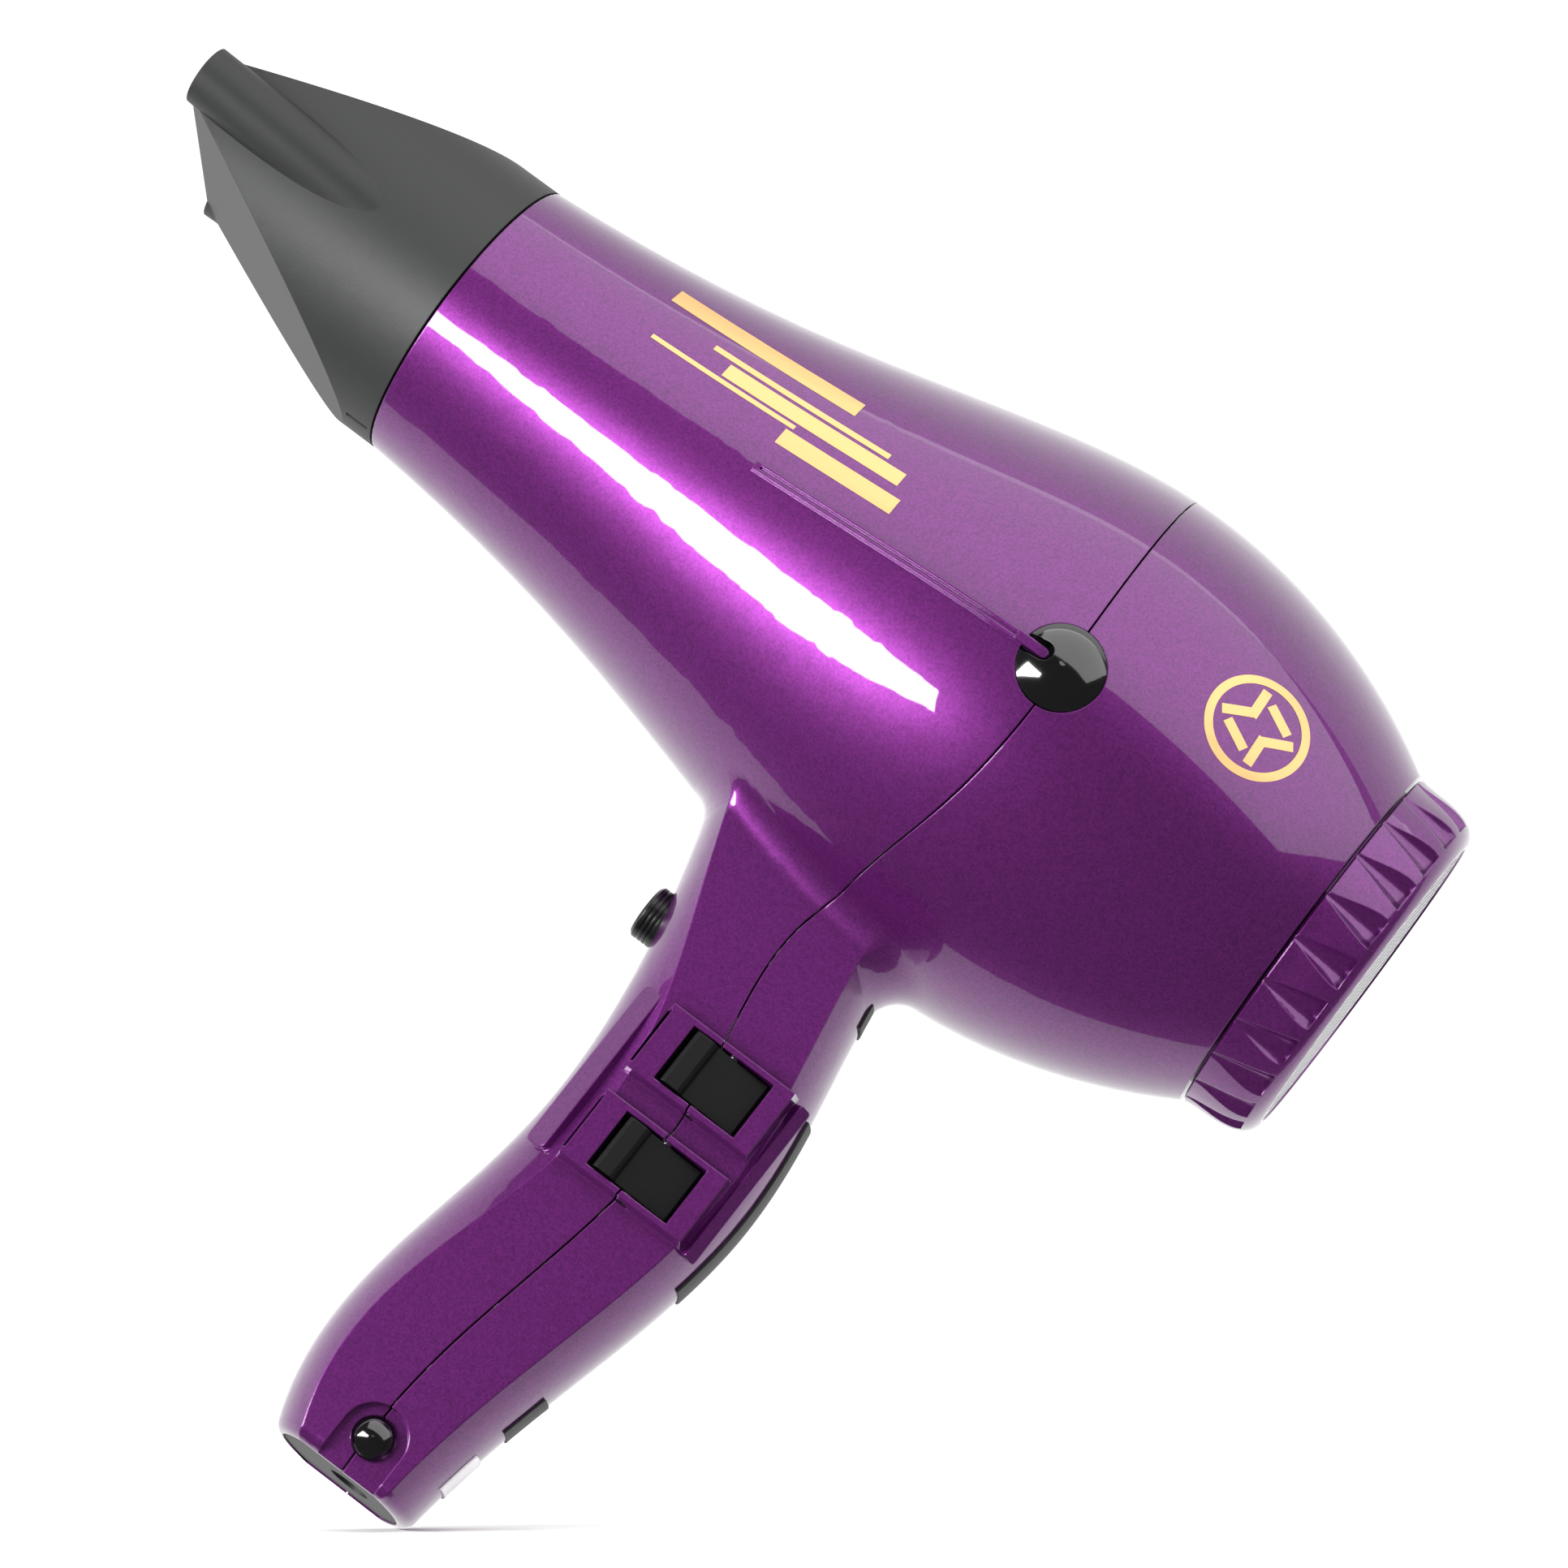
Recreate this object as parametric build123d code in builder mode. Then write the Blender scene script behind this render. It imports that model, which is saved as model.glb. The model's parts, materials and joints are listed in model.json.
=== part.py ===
from build123d import *
from math import sqrt
import os

os.makedirs("parts", exist_ok=True)

# Body, measured from the outlet plane at x = 0 back along the barrel's axis
body_length = 167.5
body_radius = 46.1
outlet_radius = 25.4
rear_radius = 32.0
shoulder_x = 0.48 * body_length
shoulder_radius = outlet_radius + 0.72 * (body_radius - outlet_radius)
crown_x = 0.67 * body_length
wall = 2.2
seam_gap = 0.15
plug_x = 115.5

# Handle, hanging down from the barrel
handle_length = 160.8
handle_depth = 37.3
handle_width = 29.6
handle_x = 107.4

# Attachment collar and air nozzle
spigot_radius = 23.0
spigot_wall = 1.8
spigot_length = 7.0
fit_gap = 0.06
nozzle_length = 52.5
nozzle_wall = 2.6
mouth_width = 64.0
mouth_height = 10.0

# Rear filter cover
cover_length = 12.0
cover_seat_radius = 28.6
cover_seat_length = 5.5
flute_count = 24

# Switches and button
rocker_length = 14.6
rocker_height = 9.6
bezel_top = 17.3
pivot_y = 14.4
pin_radius = 1.0
button_radius = 4.65
button_travel = 2.5

# Heater, motor and fan
shield_radius = 21.9
board_half = 15.1
coil_radius = 15.7
wire_radius = 0.5
motor_radius = 17.0
shaft_radius = 1.5
duct_radius = 32.6
blade_radius = 31.4
blade_count = 9


def value_at(curve, place):
    # second coordinate of a curve where its first coordinate reaches a place
    low, high = 0.0, 1.0
    for halving in range(30):
        middle = (low + high) / 2
        if (curve @ middle).X < place:
            low = middle
        else:
            high = middle
    return (curve @ low).Y


# Outline of the barrel: outlet, waist, shoulder, crown and seat of the rear cover
waist_radius = outlet_radius + 0.35 * (body_radius - outlet_radius)
barrel_points = [
    (0, outlet_radius),
    (0.3 * body_length, waist_radius),
    (shoulder_x, shoulder_radius),
    (crown_x, body_radius),
    (body_length, rear_radius),
]
barrel_ends = [(1, 0.07), (1, -0.6)]
barrel_curve = Spline(*barrel_points, tangents=barrel_ends)


def radius_at(x):
    # outside radius of the barrel at x
    return value_at(barrel_curve, x)


def handle_curve(*stations):
    # offset from the handle's middle line at shares of its length: shoulder, neck, grip, foot and toe
    return Spline(*[(share * handle_length, offset * handle_depth) for share, offset in stations])


front_edge = handle_curve((0.17, -0.88), (0.37, -0.59), (0.62, -0.495), (0.89, -0.64), (1.0, -0.53))
rear_edge = handle_curve((0.17, 0.31), (0.34, 0.37), (0.56, 0.5), (0.83, 0.29), (1.0, 0.16))
nose_depth = handle_curve((0.17, 0.13), (0.3, 0.11), (0.5, 0.23), (0.8, 0.17), (1.0, 0.14))
back_depth = 0.125 * handle_depth
handle_top = 0.17
handle_steps = 10


def handle_solid(grow, bottom):
    # the handle's outside grown by a distance, with its last section moved to the given bottom
    with BuildPart() as solid:
        for step in range(handle_steps + 1):
            share = handle_top + (1 - handle_top) * step / handle_steps
            down = share * handle_length
            height = -down if step < handle_steps else bottom
            y = handle_width / 2 * (1 - 0.15 * max(0, share - 0.5)) + grow
            front = handle_x + value_at(front_edge, down)
            rear = handle_x + value_at(rear_edge, down)
            x1 = front - grow
            x2 = front + value_at(nose_depth, down) - 0.55 * grow
            x3 = rear - back_depth + 0.6 * grow
            x4 = rear + grow
            with BuildSketch(Plane.XY.offset(height)):
                with BuildLine():
                    ThreePointArc((x2, -y), (x1, 0), (x2, y))
                    Line((x2, y), (x3, y))
                    ThreePointArc((x3, y), (x4, 0), (x3, -y))
                    Line((x3, -y), (x2, -y))
                make_face()
        loft()
    return solid.part


def barrel_solid(shift, start, end):
    # the barrel's outside moved inwards by a shift, between two places along the axis
    with BuildPart() as solid:
        points = [(x, radius - shift) for x, radius in barrel_points]
        with BuildSketch(Plane.XZ):
            with BuildLine():
                Line((0, 0), points[0])
                Spline(*points, tangents=barrel_ends)
                if end > body_length:
                    Line(points[-1], (end, points[-1][1]))
                Line((end, points[-1][1]), (end, 0))
                Line((end, 0), (0, 0))
            make_face()
        revolve(axis=Axis.X)
        if start > 0:
            split(bisect_by=Plane.YZ.offset(start))
    return solid.part


def dome_middle(radius, height, base, side):
    # a point halfway up a domed cap that stands on a base and meets its axis squarely
    sphere = (radius**2 + height**2) / (2 * height)
    return (0.6 * radius, side * (base + height - sphere + sqrt(sphere**2 - (0.6 * radius) ** 2)))


def disc(x0, x1, outer, inner=0.0):
    # a ring or disc about the barrel's axis
    along = (Align.CENTER, Align.CENTER, Align.MIN)
    solid = Plane.YZ.offset(x0) * Cylinder(outer, x1 - x0, align=along, mode=Mode.PRIVATE)
    if inner > 0:
        solid -= Plane.YZ.offset(x0) * Cylinder(inner, x1 - x0, align=along, mode=Mode.PRIVATE)
    return solid


# Joint line between the housings, as seen from the side
seam_points = [
    (plug_x - 2.5, body_radius + 4),
    (plug_x, 0.1 * body_radius),
    (plug_x - 2.6, -0.6 * body_radius),
    (handle_x - 2.3, -0.31 * handle_length),
    (handle_x + 1.5, -0.52 * handle_length),
    (handle_x - 5.4, -0.86 * handle_length),
    (handle_x - 5.7, -handle_length - 8),
]


def front_side(shift):
    # everything in front of the joint line, moved along the barrel by a shift
    with BuildPart() as solid:
        with BuildSketch(Plane.XZ):
            with BuildLine():
                line = Spline(*[(x + shift, z) for x, z in seam_points])
                Polyline(line @ 1, (-20, -handle_length - 8), (-20, body_radius + 4), line @ 0)
            make_face()
        extrude(amount=body_radius + 15, both=True)
    return solid.part


# Switch places on the near side of the handle
switch_x = handle_x + 2.25
switch_half = rocker_length / 2 + 0.45
switch_gap = rocker_height / 2 + 0.4
switch_z = [-0.489 * handle_length, -0.595 * handle_length]
button_z = -0.373 * handle_length
button_face = handle_x + value_at(front_edge, -button_z) - 3.0
flange_x = button_face + 6.7
guide_x = flange_x + 3.7 + button_travel
screw_x = handle_x - 5.6
screw_z = -0.957 * handle_length


# Raised line on each side, from its front end to the side plug
rib_start = 0.34 * body_length
rib_end = plug_x - 7.5
rib_places = [rib_start + (rib_end - rib_start) * count / 5 for count in range(6)]

# Both housings as one shell, before it is parted along the joint line
barrel_outside = barrel_solid(0, 0, body_length)
barrel_inside = barrel_solid(wall, 6.0, body_length + 1)
handle_outside = handle_solid(0, -handle_length)
handle_inside = handle_solid(-wall, -handle_length - 3)
nose_z = 0.5 * (switch_z[0] + switch_z[1])
strip_span = switch_z[0] - switch_z[1] + 2 * switch_gap + 3.4

with BuildPart() as shell:
    add(barrel_outside)
    add(handle_outside)
    fillet(shell.edges(Select.NEW), 6.5)
    rim = shell.edges().filter_by_position(Axis.Z, -handle_length - 0.1, -handle_length + 0.1)
    fillet(rim, 2.2)
    # raised seats round the two switches
    for z in switch_z:
        with BuildSketch(Plane((switch_x - 0.6, -9.0, z), x_dir=(1, 0, 0), z_dir=(0, -1, 0))):
            Rectangle(rocker_length + 10.6, rocker_height + 4.6)
        extrude(amount=bezel_top - 9.0, taper=6)
    # strip in front of the switches, wrapped round the handle's nose
    nose_plane = Plane((handle_x - 13.4, -11.6, nose_z), x_dir=(0.76, -0.65, 0), z_dir=(-0.65, -0.76, 0))
    with BuildSketch(nose_plane.offset(-3.0)):
        RectangleRounded(4.6, strip_span, 1.0)
    extrude(amount=4.6)
    # ridge behind the switches
    back_plane = Plane((handle_x + 14.6, -12.0, nose_z - 0.6), x_dir=(0.7, 0.71, 0), z_dir=(0.71, -0.7, 0))
    with BuildSketch(back_plane):
        RectangleRounded(2.6, strip_span - 0.8, 0.6)
    extrude(amount=1.9)
    # raised line on each side of the barrel, with a groove along it
    for side in (-1, 1):
        with BuildSketch(Plane.XY.offset(-0.85)):
            with BuildLine():
                top = Spline(*[(x, side * (radius_at(x) + 0.75)) for x in rib_places])
                low = Spline(*[(x, side * (radius_at(x) - 1.2)) for x in rib_places])
                Line(top @ 0, low @ 0)
                Line(top @ 1, low @ 1)
            make_face()
        extrude(amount=1.7)
        with BuildSketch(Plane.XY.offset(-0.25)):
            with BuildLine():
                top = Spline(*[(x + 1, side * (radius_at(x + 1) + 2)) for x in rib_places])
                low = Spline(*[(x + 1, side * (radius_at(x + 1) + 0.25)) for x in rib_places])
                Line(top @ 0, low @ 0)
                Line(top @ 1, low @ 1)
            make_face()
        extrude(amount=0.5, mode=Mode.SUBTRACT)
    add(barrel_inside, mode=Mode.SUBTRACT)
    add(handle_inside, mode=Mode.SUBTRACT)
    # bore of the outlet and its step
    with BuildSketch(Plane.YZ.offset(-1)):
        Circle(spigot_radius - spigot_wall)
    extrude(amount=9, mode=Mode.SUBTRACT)
    # spigot that carries the air nozzle
    with BuildSketch(Plane.YZ.offset(-spigot_length)):
        Circle(spigot_radius)
        Circle(spigot_radius - spigot_wall, mode=Mode.SUBTRACT)
    extrude(amount=spigot_length + 0.5)
    # seat of the rear cover
    with BuildSketch(Plane.YZ.offset(body_length - 4.0)):
        Circle(rear_radius - 0.3)
        Circle(cover_seat_radius - 2, mode=Mode.SUBTRACT)
    extrude(amount=4.0)
    with BuildSketch(Plane.YZ.offset(body_length)):
        Circle(cover_seat_radius)
        Circle(cover_seat_radius - 2, mode=Mode.SUBTRACT)
    extrude(amount=cover_seat_length)
    # openings of the switches, their pivot holes and the slits beside them
    for z in switch_z:
        with Locations((switch_x, -12.0, z)):
            Box(2 * switch_half, 13, 2 * switch_gap, mode=Mode.SUBTRACT)
        with Locations((switch_x, -pivot_y, z)):
            Cylinder(pin_radius + fit_gap, rocker_height + 3.6, mode=Mode.SUBTRACT)
        with Locations((switch_x - switch_half - 4.6, -14.5, z)):
            Box(0.7, 6, rocker_height + 0.6, mode=Mode.SUBTRACT)
    # hole of the cool shot button, and the pocket that its flange moves in
    with BuildSketch(Plane.YZ.offset(button_face - 1.5)):
        with Locations((0, button_z)):
            Circle(button_radius + 0.1)
    extrude(amount=10, mode=Mode.SUBTRACT)
    with BuildSketch(Plane.YZ.offset(flange_x - 0.15)):
        with Locations((0, button_z)):
            Circle(button_radius + 1.3)
    extrude(amount=button_travel + 2.5, mode=Mode.SUBTRACT)
    # holes of the side plugs, and arched recesses with screw holes at the foot
    for side in (-1, 1):
        with Locations(Location((plug_x, side * body_radius, 0), (90, 0, 0))):
            Cylinder(7.1, 12, mode=Mode.SUBTRACT)
        with BuildSketch(Plane((screw_x, side * 16, screw_z), x_dir=(1, 0, 0), z_dir=(0, -side, 0))):
            Circle(5.4)
            with Locations((0, -side * 5)):
                Rectangle(10.8, 10)
        extrude(amount=16 - 12.2, mode=Mode.SUBTRACT)
        with Locations(Location((screw_x, side * 12, screw_z), (90, 0, 0))):
            Cylinder(2.0, 8, mode=Mode.SUBTRACT)
        # end of the raised line, which reaches into the notch of the side plug
        with Locations((plug_x - 6.0, side * (body_radius - 0.3), 0)):
            Box(5.0, 2.1, 1.7)
        with Locations(Location((plug_x - 3.5, side * (body_radius - 0.3), 0), (90, 0, 0))):
            Cylinder(0.85, 2.1)

front_of_joint = front_side(-seam_gap)
front_to_rear = front_side(seam_gap)

with BuildPart() as front_housing:
    add(shell.part)
    add(front_of_joint, mode=Mode.INTERSECT)
front_housing.part.label = "front_housing"
export_step(front_housing.part, "parts/front_housing.step")

with BuildPart() as rear_housing:
    add(shell.part)
    add(front_to_rear, mode=Mode.SUBTRACT)
rear_housing.part.label = "rear_housing"
export_step(rear_housing.part, "parts/rear_housing.step")

# Air nozzle: a widening oval with a sloping flat above and below, and a round ridge at each end of its mouth
collar_gap = 0.4
facet_start = 6.0
lip_half = 3.9
facet_slope = (outlet_radius - lip_half) / (nozzle_length - facet_start)
ridge_radius = mouth_height / 2
ridge_y = mouth_width / 2 - ridge_radius
ridge_lean = 0.237
ring_groove = spigot_radius + 1.1


def nozzle_solid(shrink):
    # the nozzle's outside moved inwards by a shrink
    front = -nozzle_length - 1
    high = outlet_radius + facet_slope * (facet_start + 1) - shrink
    low = lip_half - facet_slope - 0.6 * shrink
    with BuildPart() as solid:
        for distance, width in ((collar_gap, 1.0), (nozzle_length / 2, 0.985), (nozzle_length, 1.06)):
            with BuildSketch(Plane.YZ.offset(-distance)):
                Ellipse(width * outlet_radius - shrink, outlet_radius - shrink)
        loft()
        with BuildSketch(Plane.XZ):
            with BuildLine():
                Polyline((1, high), (front, low), (front, -low), (1, -high), close=True)
            make_face()
        extrude(amount=2 * outlet_radius, both=True, mode=Mode.INTERSECT)
    return solid.part


def ridge_solid(side):
    # one round ridge, which leans in towards the barrel and widens into the nozzle's side
    start = (-nozzle_length - 3, side * (ridge_y + 3 * ridge_lean), 0)
    with BuildPart(Plane(start, x_dir=(0, 0, 1), z_dir=(1, -side * ridge_lean, 0))) as solid:
        Cone(ridge_radius, ridge_radius + 1.1, 42, align=(Align.CENTER, Align.CENTER, Align.MIN))
    return solid.part


nozzle_outside = nozzle_solid(0)
nozzle_inside = nozzle_solid(nozzle_wall)
near_ridge = ridge_solid(-1)
far_ridge = ridge_solid(1)

with BuildPart() as nozzle:
    add(nozzle_outside)
    add(near_ridge)
    add(far_ridge)
    with BuildSketch(Plane.YZ.offset(-nozzle_length)):
        Rectangle(100, 40)
    extrude(amount=-10, mode=Mode.SUBTRACT)
    add(nozzle_inside, mode=Mode.SUBTRACT)
    with BuildSketch(Plane.YZ.offset(-nozzle_length)):
        SlotOverall(mouth_width - 4.6, 5.4)
    extrude(amount=5, mode=Mode.SUBTRACT)
    # bore over the spigot, groove of the snap ring, and a slit under the collar
    with BuildSketch(Plane.YZ.offset(-spigot_length - 0.6)):
        Circle(spigot_radius + fit_gap)
    extrude(amount=spigot_length + 0.6, mode=Mode.SUBTRACT)
    with BuildSketch(Plane.YZ.offset(-6)):
        Circle(ring_groove)
    extrude(amount=2, mode=Mode.SUBTRACT)
    with Locations((-3.2, -3.4, -outlet_radius)):
        Box(4.2, 1.0, 1.6, mode=Mode.SUBTRACT)
nozzle.part.label = "nozzle"
export_step(nozzle.part, "parts/nozzle.step")

with BuildPart() as nozzle_snap_ring:
    add(disc(-5.95, -4.05, ring_groove - 0.05, spigot_radius + 0.03))
nozzle_snap_ring.part.label = "nozzle_snap_ring"
export_step(nozzle_snap_ring.part, "parts/nozzle_snap_ring.step")

# Grille in the outlet: two rings and six bars inside a rim
grille_radius = spigot_radius - spigot_wall
with BuildPart() as outlet_grille:
    with BuildSketch(Plane.YZ.offset(-2.0)):
        Circle(grille_radius)
        Circle(grille_radius - 1.5, mode=Mode.SUBTRACT)
        with PolarLocations(grille_radius / 2, 6):
            Rectangle(grille_radius - 1.0, 1.1)
        Circle(13.2)
        Circle(12.0, mode=Mode.SUBTRACT)
        with PolarLocations(grille_radius / 2, 6):
            Rectangle(grille_radius - 1.0, 1.1)
        Circle(4.5)
    extrude(amount=3.0)
outlet_grille.part.label = "outlet_grille"
export_step(outlet_grille.part, "parts/outlet_grille.step")

# Heater: a metal sleeve, two crossed boards between end plates, and one coil wound on them
board_start = 13.5
board_end = 0.445 * body_length
half_lap = (board_start + board_end) / 2
board_thick = 0.8

with BuildPart() as heat_shield:
    add(disc(8.0, board_end + 9.5, shield_radius, shield_radius - 0.4))
heat_shield.part.label = "heat_shield"
export_step(heat_shield.part, "parts/heat_shield.step")

with BuildPart() as heater_board_flat:
    with Locations((half_lap, 0, 0)):
        Box(board_end - board_start, 2 * board_half, board_thick)
    with Locations(((board_start + half_lap) / 2, 0, 0)):
        Box(half_lap - board_start, board_thick, board_thick, mode=Mode.SUBTRACT)
heater_board_flat.part.label = "heater_board_flat"
export_step(heater_board_flat.part, "parts/heater_board_flat.step")

with BuildPart() as heater_board_upright:
    with Locations((half_lap, 0, 0)):
        Box(board_end - board_start, board_thick, 2 * board_half)
    with Locations(((board_end + half_lap) / 2, 0, 0)):
        Box(board_end - half_lap, board_thick, board_thick, mode=Mode.SUBTRACT)
heater_board_upright.part.label = "heater_board_upright"
export_step(heater_board_upright.part, "parts/heater_board_upright.step")

with BuildPart() as heater_plate_front:
    add(disc(board_start - 1.5, board_start, shield_radius - 0.4, board_half - 3))
heater_plate_front.part.label = "heater_plate_front"
export_step(heater_plate_front.part, "parts/heater_plate_front.step")

with BuildPart() as heater_plate_rear:
    add(disc(board_end, board_end + 1.5, shield_radius - 0.4, board_half - 3))
heater_plate_rear.part.label = "heater_plate_rear"
export_step(heater_plate_rear.part, "parts/heater_plate_rear.step")

coil_pitch = 5.2
coil_turns = 10
with BuildPart() as heating_coil:
    with BuildLine():
        turns = Helix(coil_pitch, coil_pitch * coil_turns, coil_radius, center=(board_start + 4, 0, 0),
                      direction=(1, 0, 0))
    with BuildSketch(Plane(turns @ 0, z_dir=turns % 0)):
        Circle(wire_radius)
    sweep(path=turns, is_frenet=True)
heating_coil.part.label = "heating_coil"
export_step(heating_coil.part, "parts/heating_coil.step")

with BuildPart() as thermal_cutout:
    with Locations((board_end - 12, 7.5, board_thick / 2 + 1.6)):
        Box(9, 6, 3.2)
thermal_cutout.part.label = "thermal_cutout"
export_step(thermal_cutout.part, "parts/thermal_cutout.step")

with BuildPart() as thermal_fuse:
    with Locations(Location((board_end - 12, -7.5, board_thick / 2 + 1.3), (0, 90, 0))):
        Cylinder(1.3, 10)
thermal_fuse.part.label = "thermal_fuse"
export_step(thermal_fuse.part, "parts/thermal_fuse.step")

# Fan duct: flange, outer ring, motor cup and the guide vanes between them
duct_start = 0.702 * body_length
duct_end = 0.925 * body_length
cup_end = 0.827 * body_length
motor_start = 0.597 * body_length
flange_radius = body_radius - wall - 0.6
with BuildPart() as fan_duct:
    add(disc(duct_start, duct_start + 1.6, flange_radius, duct_radius))
    add(disc(duct_start, duct_end, duct_radius + 1.6, duct_radius))
    add(disc(duct_start - 5, cup_end, motor_radius + 1.7, motor_radius))
    add(disc(cup_end - 1.5, cup_end, motor_radius + 1.7, 5.0))
    with BuildSketch(Plane.YZ.offset(duct_start + 3)):
        with PolarLocations((motor_radius + duct_radius) / 2 + 0.9, 9):
            Rectangle(duct_radius - motor_radius - 0.9, 1.2)
    extrude(amount=15)
fan_duct.part.label = "fan_duct"
export_step(fan_duct.part, "parts/fan_duct.step")

with BuildPart() as motor_can:
    add(disc(motor_start, cup_end - 1.5, motor_radius, motor_radius - 1.5))
    add(disc(cup_end - 3.0, cup_end - 1.5, motor_radius, 4.0))
motor_can.part.label = "motor_can"
export_step(motor_can.part, "parts/motor_can.step")

with BuildPart() as motor_end_cap:
    add(disc(motor_start - 4, motor_start, motor_radius, 4.0))
    with BuildSketch(Plane.YZ.offset(motor_start - 4)):
        with PolarLocations(10.5, 6):
            Circle(2.6)
    extrude(amount=4, mode=Mode.SUBTRACT)
motor_end_cap.part.label = "motor_end_cap"
export_step(motor_end_cap.part, "parts/motor_end_cap.step")

with BuildPart() as field_core:
    add(disc(motor_start + 6, motor_start + 29, motor_radius - 1.5, motor_radius - 3.6))
field_core.part.label = "field_core"
export_step(field_core.part, "parts/field_core.step")

with BuildPart() as bearing_front:
    add(disc(motor_start - 3.5, motor_start - 0.5, 4.0, shaft_radius + 0.03))
bearing_front.part.label = "bearing_front"
export_step(bearing_front.part, "parts/bearing_front.step")

with BuildPart() as bearing_rear:
    add(disc(cup_end - 4.0, cup_end - 1.2, 4.0, shaft_radius + 0.03))
bearing_rear.part.label = "bearing_rear"
export_step(bearing_rear.part, "parts/bearing_rear.step")

with BuildPart() as motor_shaft:
    add(disc(motor_start - 5.5, cup_end + 16.5, shaft_radius))
motor_shaft.part.label = "motor_shaft"
export_step(motor_shaft.part, "parts/motor_shaft.step")

with BuildPart() as armature:
    add(disc(motor_start + 7, motor_start + 28, motor_radius - 4.2, shaft_radius))
    with BuildSketch(Plane.YZ.offset(motor_start + 7)):
        with PolarLocations(motor_radius - 5.4, 12):
            Rectangle(3.6, 1.5)
    extrude(amount=21, mode=Mode.SUBTRACT)
armature.part.label = "armature"
export_step(armature.part, "parts/armature.step")

blade_x = cup_end + 8.6
with BuildPart() as impeller:
    add(disc(cup_end + 2.6, cup_end + 14.6, 8.0, shaft_radius))
    for number in range(blade_count):
        turn = Location((blade_x, 0, 0), (number * 360 / blade_count, 0, 0))
        with Locations(turn * Location((0, 0, 7.4), (0, 0, 36))):
            Box(13.0, 1.2, 30.0, align=(Align.CENTER, Align.CENTER, Align.MIN))
    add(disc(cup_end + 1, cup_end + 17, blade_radius), mode=Mode.INTERSECT)
    add(disc(cup_end + 1, cup_end + 17, shaft_radius), mode=Mode.SUBTRACT)
impeller.part.label = "impeller"
export_step(impeller.part, "parts/impeller.step")

with BuildPart() as impeller_nut:
    with BuildSketch(Plane.YZ.offset(cup_end + 14.6)):
        RegularPolygon(2.9, 6)
        Circle(shaft_radius, mode=Mode.SUBTRACT)
    extrude(amount=1.8)
impeller_nut.part.label = "impeller_nut"
export_step(impeller_nut.part, "parts/impeller_nut.step")

# Rear filter cover with finger flutes, its clip ring, mesh and inner filter
cover_start = body_length + 0.4
cover_end = body_length + cover_length + 0.5
mesh_radius = 26.8
with BuildPart() as filter_cover:
    with BuildSketch(Plane.XZ):
        with BuildLine():
            outer = Spline((cover_start + 0.4, rear_radius - 0.3), (cover_end - 5, rear_radius - 0.8),
                           (cover_end - 1.6, rear_radius - 2.0), (cover_end, mesh_radius + 0.9))
            Polyline(outer @ 1, (cover_end, mesh_radius), (cover_end - 1.0, mesh_radius),
                     (cover_end - 1.0, mesh_radius - 1.6), (cover_end - 2.4, mesh_radius - 1.6),
                     (cover_end - 2.4, 27.0), (cover_start + 5.6, 27.0),
                     (cover_start + 5.6, cover_seat_radius + fit_gap),
                     (cover_start + 3.8, cover_seat_radius + fit_gap),
                     (cover_start + 3.8, cover_seat_radius + 1.1),
                     (cover_start + 2.0, cover_seat_radius + 1.1),
                     (cover_start + 2.0, cover_seat_radius + fit_gap),
                     (cover_start, cover_seat_radius + fit_gap),
                     (cover_start, rear_radius - 0.7), outer @ 0)
        make_face()
    revolve(axis=Axis.X)
    with Locations(Plane.YZ):
        with PolarLocations(rear_radius + 0.2, flute_count):
            with Locations((0, 0, cover_start - 1.2)):
                Cone(0.3, 3.5, 11.4, align=(Align.CENTER, Align.CENTER, Align.MIN), mode=Mode.SUBTRACT)
filter_cover.part.label = "filter_cover"
export_step(filter_cover.part, "parts/filter_cover.step")

with BuildPart() as filter_clip_ring:
    add(disc(cover_start + 2.05, cover_start + 3.75, cover_seat_radius + 1.05, cover_seat_radius + 0.03))
filter_clip_ring.part.label = "filter_clip_ring"
export_step(filter_clip_ring.part, "parts/filter_clip_ring.step")

with BuildPart() as filter_mesh:
    with BuildSketch(Plane.YZ.offset(cover_end - 1.0)):
        Circle(mesh_radius)
        with HexLocations(1.5, 17, 17):
            Circle(0.95, mode=Mode.SUBTRACT)
    extrude(amount=0.7)
    # plain rim, which closes the holes that its edge would cut
    with BuildSketch(Plane.YZ.offset(cover_end - 1.0)):
        Circle(mesh_radius)
        Circle(mesh_radius - 1.5, mode=Mode.SUBTRACT)
    extrude(amount=0.7)
filter_mesh.part.label = "filter_mesh"
export_step(filter_mesh.part, "parts/filter_mesh.step")

with BuildPart() as inner_filter:
    add(disc(cover_end - 5.0, cover_end - 2.4, 27.0, 3.0))
inner_filter.part.label = "inner_filter"
export_step(inner_filter.part, "parts/inner_filter.step")

# Side plugs: a dome on each side over the joint line, notched for the end of the raised line
for side, name in ((-1, "side_plug_left"), (1, "side_plug_right")):
    with BuildPart() as side_plug:
        with BuildSketch(Plane((plug_x, 0, 0), x_dir=(1, 0, 0), z_dir=(0, 0, 1))):
            with BuildLine():
                low = side * (body_radius - 2.6)
                edge = side * (body_radius - 0.1)
                top = side * (body_radius + 2.7)
                Polyline((0, low), (7.0, low), (7.0, edge))
                ThreePointArc((7.0, edge), dome_middle(7.0, 2.8, body_radius - 0.1, side), (0, top))
                Line((0, top), (0, low))
            make_face()
        revolve(axis=Axis((plug_x, 0, 0), (0, 1, 0)))
        with Locations((plug_x - 6.2, side * (body_radius + 1.0), 0)):
            Box(5.4, 5.4, 3.2, mode=Mode.SUBTRACT)
        with Locations(Location((plug_x - 3.5, side * (body_radius + 1.0), 0), (90, 0, 0))):
            Cylinder(1.6, 5.4, mode=Mode.SUBTRACT)
    side_plug.part.label = name
    export_step(side_plug.part, "parts/" + name + ".step")

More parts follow.
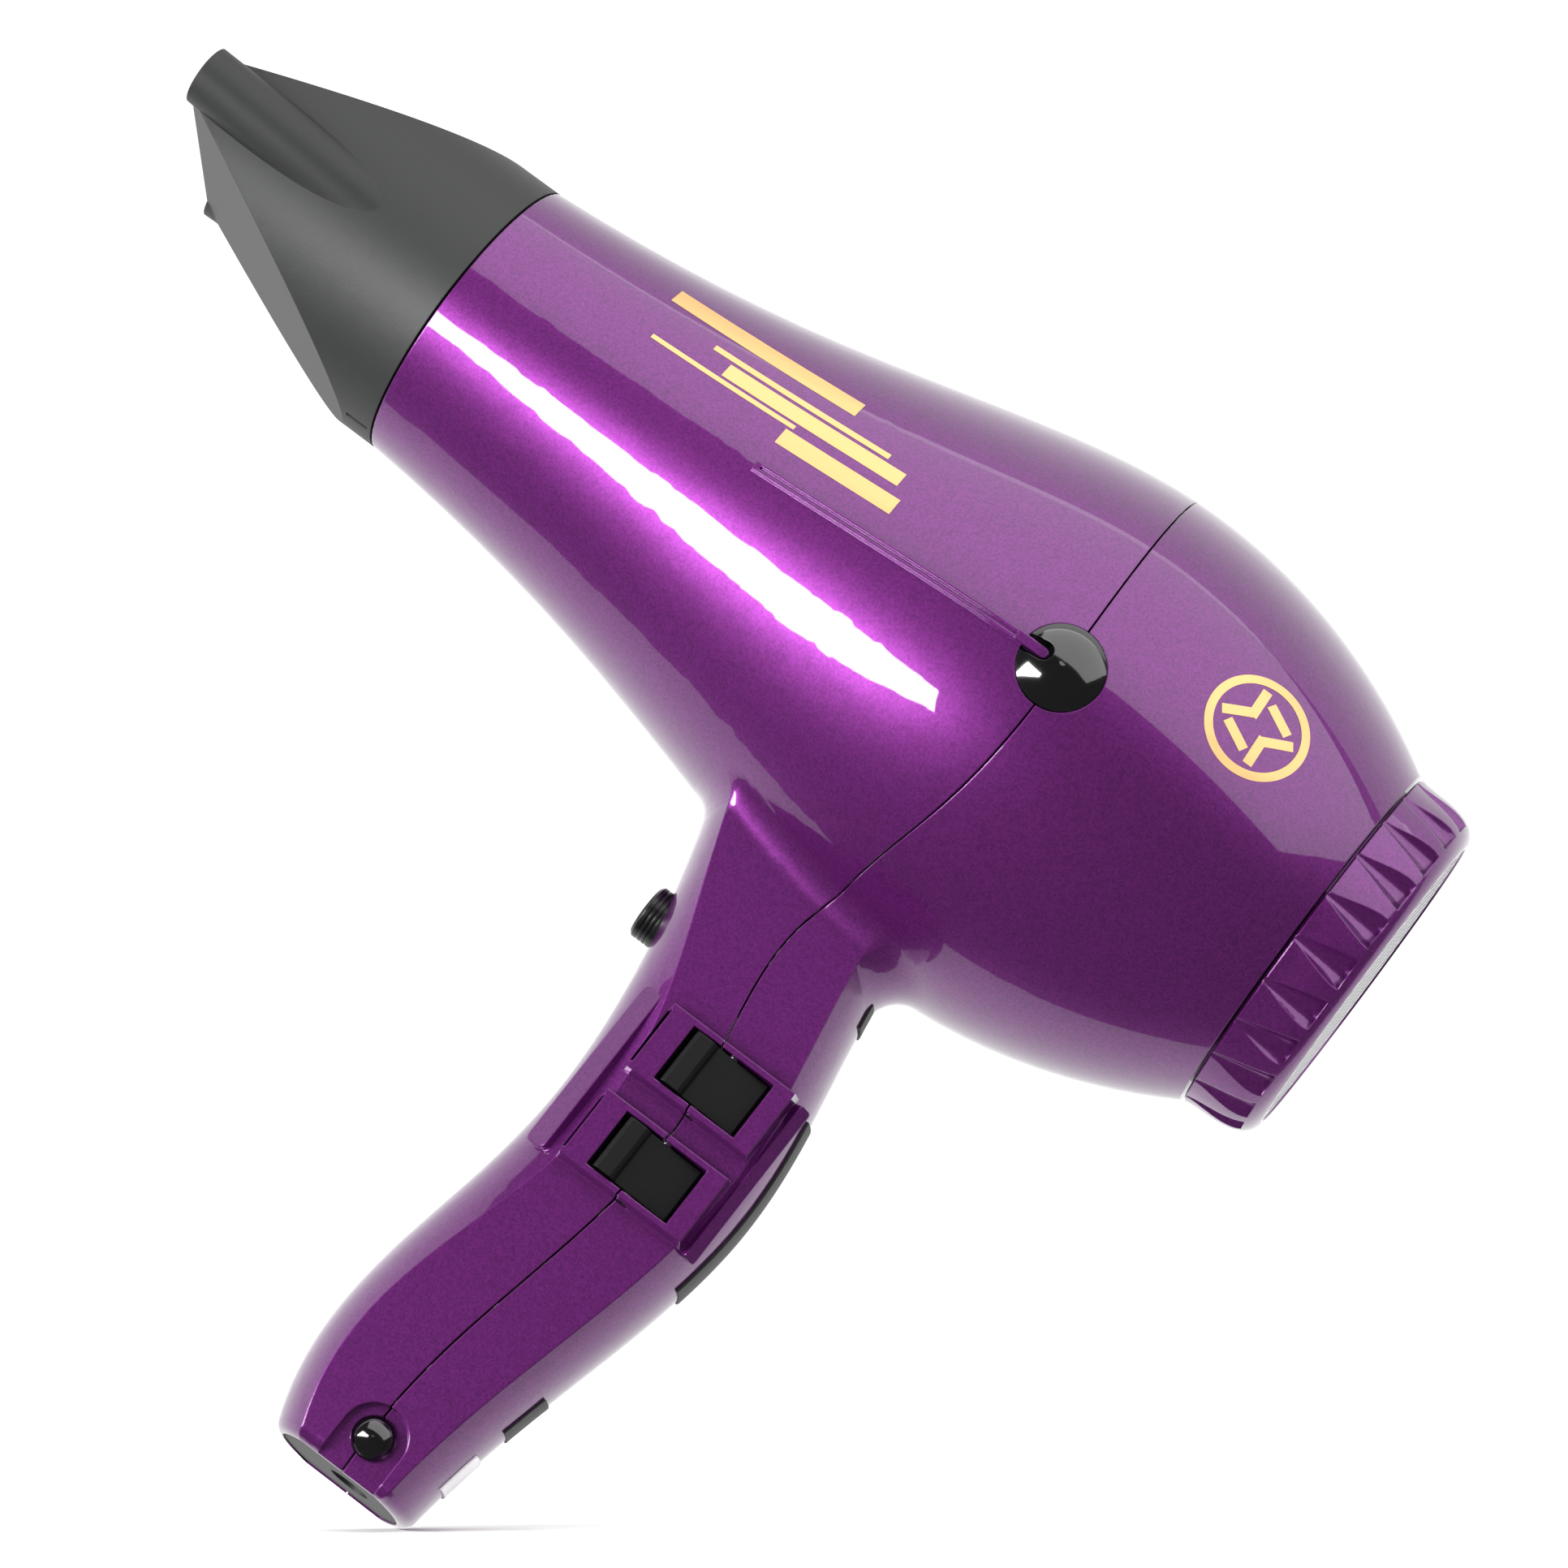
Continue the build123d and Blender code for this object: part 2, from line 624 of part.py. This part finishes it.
# Rocker switches: a rocker with its own pin, and a switch body behind each
rocker_outline = [
    (-7.1, -0.9), (-7.1, 1.2), (-6.7, 3.3), (-6.1, 3.7), (-3.6, 3.7), (-3.0, 3.2), (-2.6, 2.5), (6.9, 0.9),
    (7.1, 0.5), (7.1, -0.9), (3.2, -1.9), (2.2, -3.3), (-2.2, -3.3), (-3.2, -1.9),
]
for z, rank in zip(switch_z, ("speed", "heat")):
    with BuildPart() as rocker:
        with BuildSketch(Plane.XY.offset(z - rocker_height / 2)):
            with BuildLine():
                Polyline(*[(switch_x + x, -pivot_y - y) for x, y in rocker_outline], close=True)
            make_face()
            with Locations((switch_x, -pivot_y)):
                Circle(pin_radius, mode=Mode.SUBTRACT)
        extrude(amount=rocker_height)
    rocker.part.label = "rocker_" + rank
    export_step(rocker.part, "parts/rocker_" + rank + ".step")

    with BuildPart() as rocker_pin:
        with Locations((switch_x, -pivot_y, z)):
            Cylinder(pin_radius, rocker_height + 3.2)
    rocker_pin.part.label = "rocker_pin_" + rank
    export_step(rocker_pin.part, "parts/rocker_pin_" + rank + ".step")

    with BuildPart() as switch_body:
        with Locations((switch_x, -6.1, z)):
            Box(rocker_length + 0.8, 10.6, rocker_height + 2.4)
        with Locations((switch_x, -10.6, z)):
            Box(8.4, 2.4, rocker_height + 0.8, mode=Mode.SUBTRACT)
        for offset in (-4.5, 0, 4.5):
            with Locations((switch_x + offset, 0.6, z)):
                Box(0.8, 3.6, 4.0)
    switch_body.part.label = "switch_body_" + rank
    export_step(switch_body.part, "parts/switch_body_" + rank + ".step")

# Cool shot button, its return spring and the small switch it presses
with BuildPart() as cool_shot_button:
    with BuildSketch(Plane.YZ.offset(button_face)):
        with Locations((0, button_z)):
            Circle(button_radius)
    extrude(amount=flange_x - button_face)
    chamfer(cool_shot_button.edges().filter_by_position(Axis.X, button_face - 0.1, button_face + 0.1), 0.5)
    for step in (1.2, 2.0, 2.8):
        with BuildSketch(Plane.YZ.offset(button_face + step)):
            with Locations((0, button_z)):
                Circle(button_radius + 1)
                Circle(button_radius - 0.25, mode=Mode.SUBTRACT)
        extrude(amount=0.35, mode=Mode.SUBTRACT)
    with BuildSketch(Plane.YZ.offset(flange_x)):
        with Locations((0, button_z)):
            Circle(button_radius + 0.9)
    extrude(amount=1.0)
    with BuildSketch(Plane.YZ.offset(flange_x + 1)):
        with Locations((0, button_z)):
            Circle(1.6)
    extrude(amount=6.1)
cool_shot_button.part.label = "cool_shot_button"
export_step(cool_shot_button.part, "parts/cool_shot_button.step")

with BuildPart() as button_spring:
    with BuildLine():
        turns = Helix(1.1, 4.4, 2.7, center=(flange_x + 1.4, 0, button_z), direction=(1, 0, 0))
    with BuildSketch(Plane(turns @ 0, z_dir=turns % 0)):
        Circle(0.3)
    sweep(path=turns, is_frenet=True)
button_spring.part.label = "button_spring"
export_step(button_spring.part, "parts/button_spring.step")

with BuildPart() as button_switch:
    with Locations((guide_x + 5.3, 0, button_z)):
        Box(10.6, 6.4, 8.4)
    with Locations(Location((guide_x + 2.0, 0, button_z), (0, 90, 0))):
        Cylinder(1.7, 5.0, mode=Mode.SUBTRACT)
button_switch.part.label = "button_switch"
export_step(button_switch.part, "parts/button_switch.step")

# Foot: end cap with the cord's hole, two screws, and a domed plug over each
inlet_radius = 3.6
cap_top = -handle_length + 4.2
with BuildPart() as end_cap:
    add(handle_inside)
    with Locations((handle_x - 6, 0, (cap_top - handle_length + 0.3) / 2)):
        Box(60, 60, cap_top + handle_length - 0.3, mode=Mode.INTERSECT)
    for side in (-1, 1):
        with Locations((screw_x, side * 7.9, screw_z + 1.0)):
            Box(7.0, 4.6, 8.0)
        with Locations(Location((screw_x, side * 8, screw_z), (90, 0, 0))):
            Cylinder(1.5, 6, mode=Mode.SUBTRACT)
    with Locations((screw_x, 0, cap_top)):
        Cylinder(inlet_radius + 1.4, 3.0)
    with Locations((screw_x, 0, -handle_length + 2)):
        Cylinder(inlet_radius, 20, mode=Mode.SUBTRACT)
end_cap.part.label = "end_cap"
export_step(end_cap.part, "parts/end_cap.step")

with BuildPart() as handle_screws:
    for side in (-1, 1):
        with Locations(Location((screw_x, side * 8.9, screw_z), (90, 0, 0))):
            Cylinder(1.5, 6.4)
        with Locations(Location((screw_x, side * 11.3, screw_z), (90, 0, 0))):
            Cylinder(1.9, 1.6)
handle_screws.part.label = "handle_screws"
export_step(handle_screws.part, "parts/handle_screws.step")

for side, name in ((-1, "screw_plug_left"), (1, "screw_plug_right")):
    with BuildPart() as screw_plug:
        with BuildSketch(Plane((screw_x, 0, screw_z), x_dir=(1, 0, 0), z_dir=(0, 0, 1))):
            with BuildLine():
                Polyline((0, side * 12.2), (3.6, side * 12.2), (3.6, side * 12.9))
                ThreePointArc((3.6, side * 12.9), dome_middle(3.6, 2.5, 12.9, side), (0, side * 15.4))
                Line((0, side * 15.4), (0, side * 12.2))
            make_face()
        revolve(axis=Axis((screw_x, 0, screw_z), (0, 1, 0)))
    screw_plug.part.label = name
    export_step(screw_plug.part, "parts/" + name + ".step")

# Inside the handle: cord clamp, capacitor, terminal block and ion generator
inner_blocks = [
    ("cord_clamp", screw_x, -0.885, 13.0, 11.0, 5.0),
    ("capacitor", handle_x - 3.0, -0.82, 15.0, 9.0, 12.0),
    ("terminal_block", handle_x - 0.4, -0.745, 15.0, 12.0, 8.0),
    ("ion_generator", handle_x + 0.6, -0.68, 16.0, 14.0, 9.0),
]
for name, x, share, length, width, height in inner_blocks:
    with BuildPart() as block:
        with Locations((x, 0, share * handle_length)):
            Box(length, width, height)
        if name == "cord_clamp":
            with Locations((screw_x, 0, share * handle_length)):
                Cylinder(inlet_radius, height, mode=Mode.SUBTRACT)
        else:
            fillet(block.edges().filter_by(Axis.Z), 1.0)
    block.part.label = name
    export_step(block.part, "parts/" + name + ".step")

# Thin plates on the back of the handle, which follow its outside
plates = [
    ("back_strip", 0.45, 5.6, 0.452, 0.662),
    ("rating_plate", 0.35, 5.0, 0.822, 0.872),
    ("blank_label", 0.35, 5.0, 0.905, 0.952),
    ("neck_strip", 0.4, 4.4, 0.318, 0.345),
]
for name, thick, half, top, bottom in plates:
    skin = handle_solid(thick, -handle_length)
    height = (bottom - top) * handle_length
    with BuildPart() as plate:
        add(skin)
        with Locations((handle_x + 20, 0, -(top + bottom) / 2 * handle_length)):
            Box(40, 2 * half, height, mode=Mode.INTERSECT)
        add(handle_outside, mode=Mode.SUBTRACT)
        if name == "neck_strip":
            add(shell.part, mode=Mode.SUBTRACT)
    plate.part.label = name
    export_step(plate.part, "parts/" + name + ".step")
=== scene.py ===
import json
from math import radians, sin, cos, pi

import bpy
from mathutils import Matrix, Vector


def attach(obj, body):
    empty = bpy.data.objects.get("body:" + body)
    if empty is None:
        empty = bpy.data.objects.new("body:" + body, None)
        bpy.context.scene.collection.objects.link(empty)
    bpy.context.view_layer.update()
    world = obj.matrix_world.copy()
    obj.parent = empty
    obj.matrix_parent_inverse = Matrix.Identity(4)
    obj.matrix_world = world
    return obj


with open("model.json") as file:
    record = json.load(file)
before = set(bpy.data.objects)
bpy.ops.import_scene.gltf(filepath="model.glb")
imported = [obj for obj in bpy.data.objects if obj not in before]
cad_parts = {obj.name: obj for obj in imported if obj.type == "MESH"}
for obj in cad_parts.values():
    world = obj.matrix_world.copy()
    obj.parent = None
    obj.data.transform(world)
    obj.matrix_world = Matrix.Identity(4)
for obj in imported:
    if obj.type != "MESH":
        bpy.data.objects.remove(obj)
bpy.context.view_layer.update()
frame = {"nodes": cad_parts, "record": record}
nodes = frame["nodes"]
print("frame loaded:", len(nodes), "nodes")

mm = 0.001
printLift = 0.05 * mm  # how far the gold foil stands off the lacquer
printStart = 60 * mm  # foil is drawn this far out on the near side, then laid on the housing


def linear(hexColour):
    values = [int(hexColour[i:i + 2], 16) / 255 for i in (1, 3, 5)]
    return [v / 12.92 if v <= 0.04045 else ((v + 0.055) / 1.055) ** 2.4 for v in values] + [1.0]


def addNode(tree, kind, place, settings=None, links=None):
    node = tree.nodes.new(kind)
    node.location = place
    for name, value in (settings or {}).items():
        if name in node.inputs:
            node.inputs[name].default_value = value
        else:
            setattr(node, name, value)
    for name, source in (links or {}).items():
        tree.links.new(source, node.inputs[name])
    return node


def newMaterial(name):
    material = bpy.data.materials.new(name)
    material.use_nodes = True
    tree = material.node_tree
    return material, tree, tree.nodes["Principled BSDF"]


def paintSlot(slotName, material):
    for entry in frame["record"]["subparts"]:
        if entry["material_slot"] == slotName:
            data = nodes[entry["node"]].data
            data.materials.clear()
            data.materials.append(material)


def lacquerMaterial():
    look = {"base": "#55165c", "flake": "#8f2d95", "grain": 1 / (0.35 * mm), "edge": 0.35 * mm}
    material, tree, shader = newMaterial("Purple metallic lacquer")
    coords = addNode(tree, "ShaderNodeTexCoord", (-1100, 0))
    flakes = addNode(tree, "ShaderNodeTexVoronoi", (-900, 0), {"Scale": look["grain"]},
                     {"Vector": coords.outputs["Object"]})
    mix = addNode(tree, "ShaderNodeMix", (-500, 100), {"data_type": "RGBA", "blend_type": "MIX"})
    mix.inputs[6].default_value = linear(look["base"])
    mix.inputs[7].default_value = linear(look["flake"])
    ramp = addNode(tree, "ShaderNodeMapRange", (-700, 100), {"To Max": 0.35},
                   {"Value": flakes.outputs["Color"]})
    tree.links.new(ramp.outputs["Result"], mix.inputs["Factor"])
    tree.links.new(mix.outputs[2], shader.inputs["Base Color"])
    edge = addNode(tree, "ShaderNodeBevel", (-700, -400), {"Radius": look["edge"], "samples": 6})
    bump = addNode(tree, "ShaderNodeBump", (-400, -300), {"Strength": 0.12, "Distance": 0.02 * mm},
                   {"Height": flakes.outputs["Color"], "Normal": edge.outputs["Normal"]})
    tree.links.new(bump.outputs["Normal"], shader.inputs["Normal"])
    tree.links.new(edge.outputs["Normal"], shader.inputs["Coat Normal"])
    shader.inputs["Metallic"].default_value = 0.75
    shader.inputs["Roughness"].default_value = 0.36
    shader.inputs["Coat Weight"].default_value = 1.0
    shader.inputs["Coat Roughness"].default_value = 0.03
    return material


def plasticMaterial(name, colour, roughness, grainMm=0.0, depthMm=0.0, coat=0.0, edgeMm=0.25):
    material, tree, shader = newMaterial(name)
    shader.inputs["Base Color"].default_value = linear(colour)
    shader.inputs["Roughness"].default_value = roughness
    shader.inputs["Coat Weight"].default_value = coat
    shader.inputs["Coat Roughness"].default_value = 0.04
    edge = addNode(tree, "ShaderNodeBevel", (-700, -400), {"Radius": edgeMm * mm, "samples": 4})
    if grainMm:
        coords = addNode(tree, "ShaderNodeTexCoord", (-1100, 0))
        grain = addNode(tree, "ShaderNodeTexNoise", (-900, 0), {"Scale": 1 / (grainMm * mm), "Detail": 3.0},
                        {"Vector": coords.outputs["Object"]})
        bump = addNode(tree, "ShaderNodeBump", (-400, -300), {"Strength": 0.6, "Distance": depthMm * mm},
                       {"Height": grain.outputs["Fac"], "Normal": edge.outputs["Normal"]})
        tree.links.new(bump.outputs["Normal"], shader.inputs["Normal"])
    else:
        tree.links.new(edge.outputs["Normal"], shader.inputs["Normal"])
    return material


def metalMaterial(name, colour, roughness):
    material, tree, shader = newMaterial(name)
    shader.inputs["Base Color"].default_value = linear(colour)
    shader.inputs["Metallic"].default_value = 1.0
    shader.inputs["Roughness"].default_value = roughness
    return material


looks = {
    "purple_lacquer": lacquerMaterial(),
    "matte_black": plasticMaterial("Fine-textured black nylon", "#1c1d1d", 0.5, 0.35, 0.03),
    "gloss_black": plasticMaterial("Gloss black plastic", "#050506", 0.12, coat=1.0),
    "satin_black": plasticMaterial("Satin black plastic", "#0b0b0c", 0.3),
    "label_white": plasticMaterial("Off-white label film", "#d8d6d8", 0.45),
    "spring_steel": metalMaterial("Spring steel", "#b9babd", 0.28),
    "mesh_steel": metalMaterial("Stainless mesh", "#d9d9dc", 0.35),
    "filter_foam": plasticMaterial("Charcoal filter foam", "#1a1a1b", 0.95, 0.8, 0.4),
    "shield_aluminium": metalMaterial("Rolled aluminium sheet", "#cfd1d3", 0.3),
    "mica": plasticMaterial("Pressed mica board", "#b7a67c", 0.55, 1.5, 0.03),
    "heater_wire": metalMaterial("Nickel-chrome resistance wire", "#8d8680", 0.38),
    "duct_plastic": plasticMaterial("Heat-proof grey plastic", "#26272a", 0.5),
    "core_iron": metalMaterial("Laminated core iron", "#6d6b69", 0.5),
    "capacitor_case": plasticMaterial("Yellow capacitor case", "#b58a1c", 0.35),
}
for slotName, material in looks.items():
    paintSlot(slotName, material)
gold = metalMaterial("Gold foil print", "#e8bd82", 0.42)
print("materials done")


def clearSelection():
    if bpy.context.object and bpy.context.object.mode != "OBJECT":
        bpy.ops.object.mode_set(mode="OBJECT")
    bpy.ops.object.select_all(action="DESELECT")


def layOn(piece, target, lift):
    # projects a flat print straight onto the housing and lifts it by its own thickness
    wrap = piece.modifiers.new("lay", "SHRINKWRAP")
    wrap.target = target
    wrap.wrap_method = "PROJECT"
    wrap.use_project_y = True
    wrap.use_positive_direction = True
    wrap.use_negative_direction = True
    wrap.offset = lift
    bpy.context.view_layer.objects.active = piece
    bpy.ops.object.modifier_apply(modifier=wrap.name)


def printBar(name, bar, target):
    # one slanted bar, drawn in front of the near side and cut fine enough to follow it
    clearSelection()
    bpy.ops.mesh.primitive_grid_add(x_subdivisions=max(4, int(bar["long"])), y_subdivisions=3, size=1)
    piece = bpy.context.object
    piece.name = name
    bpy.ops.object.mode_set(mode="EDIT")
    bpy.ops.mesh.select_all(action="SELECT")
    bpy.ops.transform.resize(value=(bar["long"] * mm, bar["high"] * mm, 1))
    bpy.ops.transform.rotate(value=-pi / 2, orient_axis="X", center_override=(0, 0, 0))
    bpy.ops.transform.rotate(value=radians(bar.get("turn", 0)), orient_axis="Y", center_override=(0, 0, 0))
    bpy.ops.transform.translate(value=(bar["x"] * mm, -printStart, bar["z"] * mm))
    bpy.ops.object.mode_set(mode="OBJECT")
    layOn(piece, nodes[target], printLift)
    piece.data.materials.append(gold)
    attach(piece, "main")
    return piece


barrelBars = [
    {"x": 46, "z": 18.2, "long": 36, "high": 3.0},
    {"x": 56, "z": 13.6, "long": 34, "high": 1.0},
    {"x": 60, "z": 11.2, "long": 34, "high": 2.6},
    {"x": 44, "z": 9.0, "long": 28, "high": 0.8},
    {"x": 68, "z": 6.6, "long": 22, "high": 3.0},
]
for number, bar in enumerate(barrelBars):
    printBar("barrelBar" + str(number), bar, "front_housing")


def printFan(centreX, centreZ):
    # a plain ring with slanted blades inside, like a fan seen from the front
    clearSelection()
    bpy.ops.mesh.primitive_circle_add(vertices=72, radius=8.6 * mm, fill_type="NGON")
    ring = bpy.context.object
    ring.name = "bowlRing"
    bpy.ops.object.mode_set(mode="EDIT")
    bpy.ops.mesh.select_all(action="SELECT")
    bpy.ops.mesh.inset(thickness=0.7 * mm)
    bpy.ops.mesh.inset(thickness=0.7 * mm)
    bpy.ops.mesh.delete(type="FACE")
    bpy.ops.mesh.select_all(action="SELECT")
    bpy.ops.transform.rotate(value=-pi / 2, orient_axis="X", center_override=(0, 0, 0))
    bpy.ops.transform.translate(value=(centreX * mm, -printStart, centreZ * mm))
    bpy.ops.object.mode_set(mode="OBJECT")
    layOn(ring, nodes["rear_housing"], printLift)
    ring.data.materials.append(gold)
    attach(ring, "main")
    for step in range(6):
        turn = step * 60
        spot = {"x": centreX + 3.9 * cos(radians(turn)), "z": centreZ + 3.9 * sin(radians(turn)),
                "long": 5.2, "high": 1.6, "turn": -turn + 35}
        printBar("bowlBlade" + str(step), spot, "rear_housing")


printFan(144.5, 12.5)
print("gold print done")


cameraPlace = Vector((0.213, -0.9885, -0.2556))
aim = Vector((0.0863, 0.0074, -0.0285))
pictureUp = Vector((-0.599, -0.2005, 0.7752))

view = (aim - cameraPlace).normalized()
right = view.cross(pictureUp).normalized()
up = right.cross(view).normalized()


def facing(place, target, roughUp):
    # rotation that turns an object's -Z towards the target
    back = (place - target).normalized()
    side = roughUp.cross(back).normalized()
    top = back.cross(side)
    matrix = Matrix((side, top, back)).transposed().to_4x4()
    matrix.translation = place
    return matrix


cameraData = bpy.data.cameras.new("camera")
cameraData.lens = 147.1
cameraData.sensor_width = 36
camera = bpy.data.objects.new("camera", cameraData)
camera.matrix_world = facing(cameraPlace, aim, pictureUp)
bpy.context.scene.collection.objects.link(camera)
bpy.context.scene.camera = camera


def oneSided(material, tree, shader):
    # seen from behind the surface isn't there, so that no view of the object is blocked
    geometry = addNode(tree, "ShaderNodeNewGeometry", (-300, 400))
    clear = addNode(tree, "ShaderNodeBsdfTransparent", (0, -200))
    mix = addNode(tree, "ShaderNodeMixShader", (300, 200), {}, {"Fac": geometry.outputs["Backfacing"]})
    tree.links.new(shader.outputs[0], mix.inputs[1])
    tree.links.new(clear.outputs[0], mix.inputs[2])
    tree.links.new(mix.outputs[0], tree.nodes["Material Output"].inputs["Surface"])
    return material


def stagePlane(name, size, place, normal, side, material):
    clearSelection()
    bpy.ops.mesh.primitive_plane_add(size=size)
    plane = bpy.context.object
    plane.name = name
    matrix = Matrix((side, normal.cross(side), normal)).transposed().to_4x4()
    matrix.translation = place
    plane.matrix_world = matrix
    plane.data.materials.append(material)
    return plane


# the floor touches the handle's lowest corner and is seen almost edge on
floorTilt = radians(4.6)
floorUp = (up * cos(floorTilt) + view * sin(floorTilt)).normalized()
lowest = min((v.co for v in nodes["rear_housing"].data.vertices), key=lambda p: p.dot(floorUp))
floorMaterial = oneSided(*newMaterial("Matt white floor"))
floorShader = floorMaterial.node_tree.nodes["Principled BSDF"]
floorShader.inputs["Base Color"].default_value = linear("#f4f4f4")
floorShader.inputs["Roughness"].default_value = 0.9
floorShader.inputs["Specular IOR Level"].default_value = 0.0
floor = stagePlane("floor", 6, lowest - floorUp * 0.2 * mm, floorUp, right, floorMaterial)
floor.visible_glossy = False

backMaterial = oneSided(*newMaterial("White backdrop"))
backShader = backMaterial.node_tree.nodes["Principled BSDF"]
backShader.inputs["Base Color"].default_value = (0, 0, 0, 1)
backShader.inputs["Emission Color"].default_value = (1, 1, 1, 1)
backShader.inputs["Emission Strength"].default_value = 1.05
stagePlane("backdrop", 14, aim + view * 1.0, -view, right, backMaterial)

world = bpy.data.worlds.new("studio")
bpy.context.scene.world = world
world.use_nodes = True
background = world.node_tree.nodes["Background"]
background.inputs["Color"].default_value = (1, 1, 1, 1)
background.inputs["Strength"].default_value = 0.10


def softLight(name, place, target, roughUp, width, height, strength):
    # strength is the brightness of the light's own face
    data = bpy.data.lights.new(name, "AREA")
    data.shape = "RECTANGLE"
    data.size = width
    data.size_y = height
    data.energy = strength * pi * width * height
    light = bpy.data.objects.new(name, data)
    light.matrix_world = facing(place, target, roughUp)
    bpy.context.scene.collection.objects.link(light)
    return light


# directions are given round the barrel's axis, from the side that faces the camera
tilt = radians(14.5)
towards = Vector((0, -cos(tilt), -sin(tilt)))
above = Vector((0, -sin(tilt), cos(tilt)))


def around(degrees, distance, x):
    return Vector((x, 0, 0)) + (towards * cos(radians(degrees)) + above * sin(radians(degrees))) * distance


def stripLight(name, corners, strength):
    # a four-cornered softbox: each corner is given by its angle, distance and place along the barrel
    clearSelection()
    bpy.ops.mesh.primitive_plane_add(size=1)
    box = bpy.context.object
    box.name = name
    for vertex, (degrees, distance, x) in zip(box.data.vertices, corners):
        vertex.co = around(degrees, distance, x)
    material, tree, shader = newMaterial(name)
    shader.inputs["Base Color"].default_value = (0, 0, 0, 1)
    shader.inputs["Emission Color"].default_value = (1, 1, 1, 1)
    shader.inputs["Emission Strength"].default_value = strength
    box.data.materials.append(material)
    box.visible_camera = False
    return box


# the plane's corners come in the order left low, right low, left high, right high
stripLight("strip softbox", [(-62, 0.6, -0.78), (-14, 0.6, -0.13), (-6, 0.6, -0.78), (-7, 0.6, -0.13)], 24)
panel = softLight("overhead panel", around(66, 0.9, 0.0), Vector((0, 0, 0)), above, 2.4, 1.15, 1.9)
panel.visible_camera = False

floorLight = softLight("floor light", lowest + floorUp * 1.4, lowest, view, 3.0, 3.0, 1.7)
floorLight.visible_glossy = False
floorLight.visible_camera = False
onlyFloor = bpy.data.collections.new("lit by the floor light")
onlyFloor.objects.link(floor)
floorLight.light_linking.receiver_collection = onlyFloor

bpy.context.scene.view_settings.view_transform = "Standard"
print("scene done")
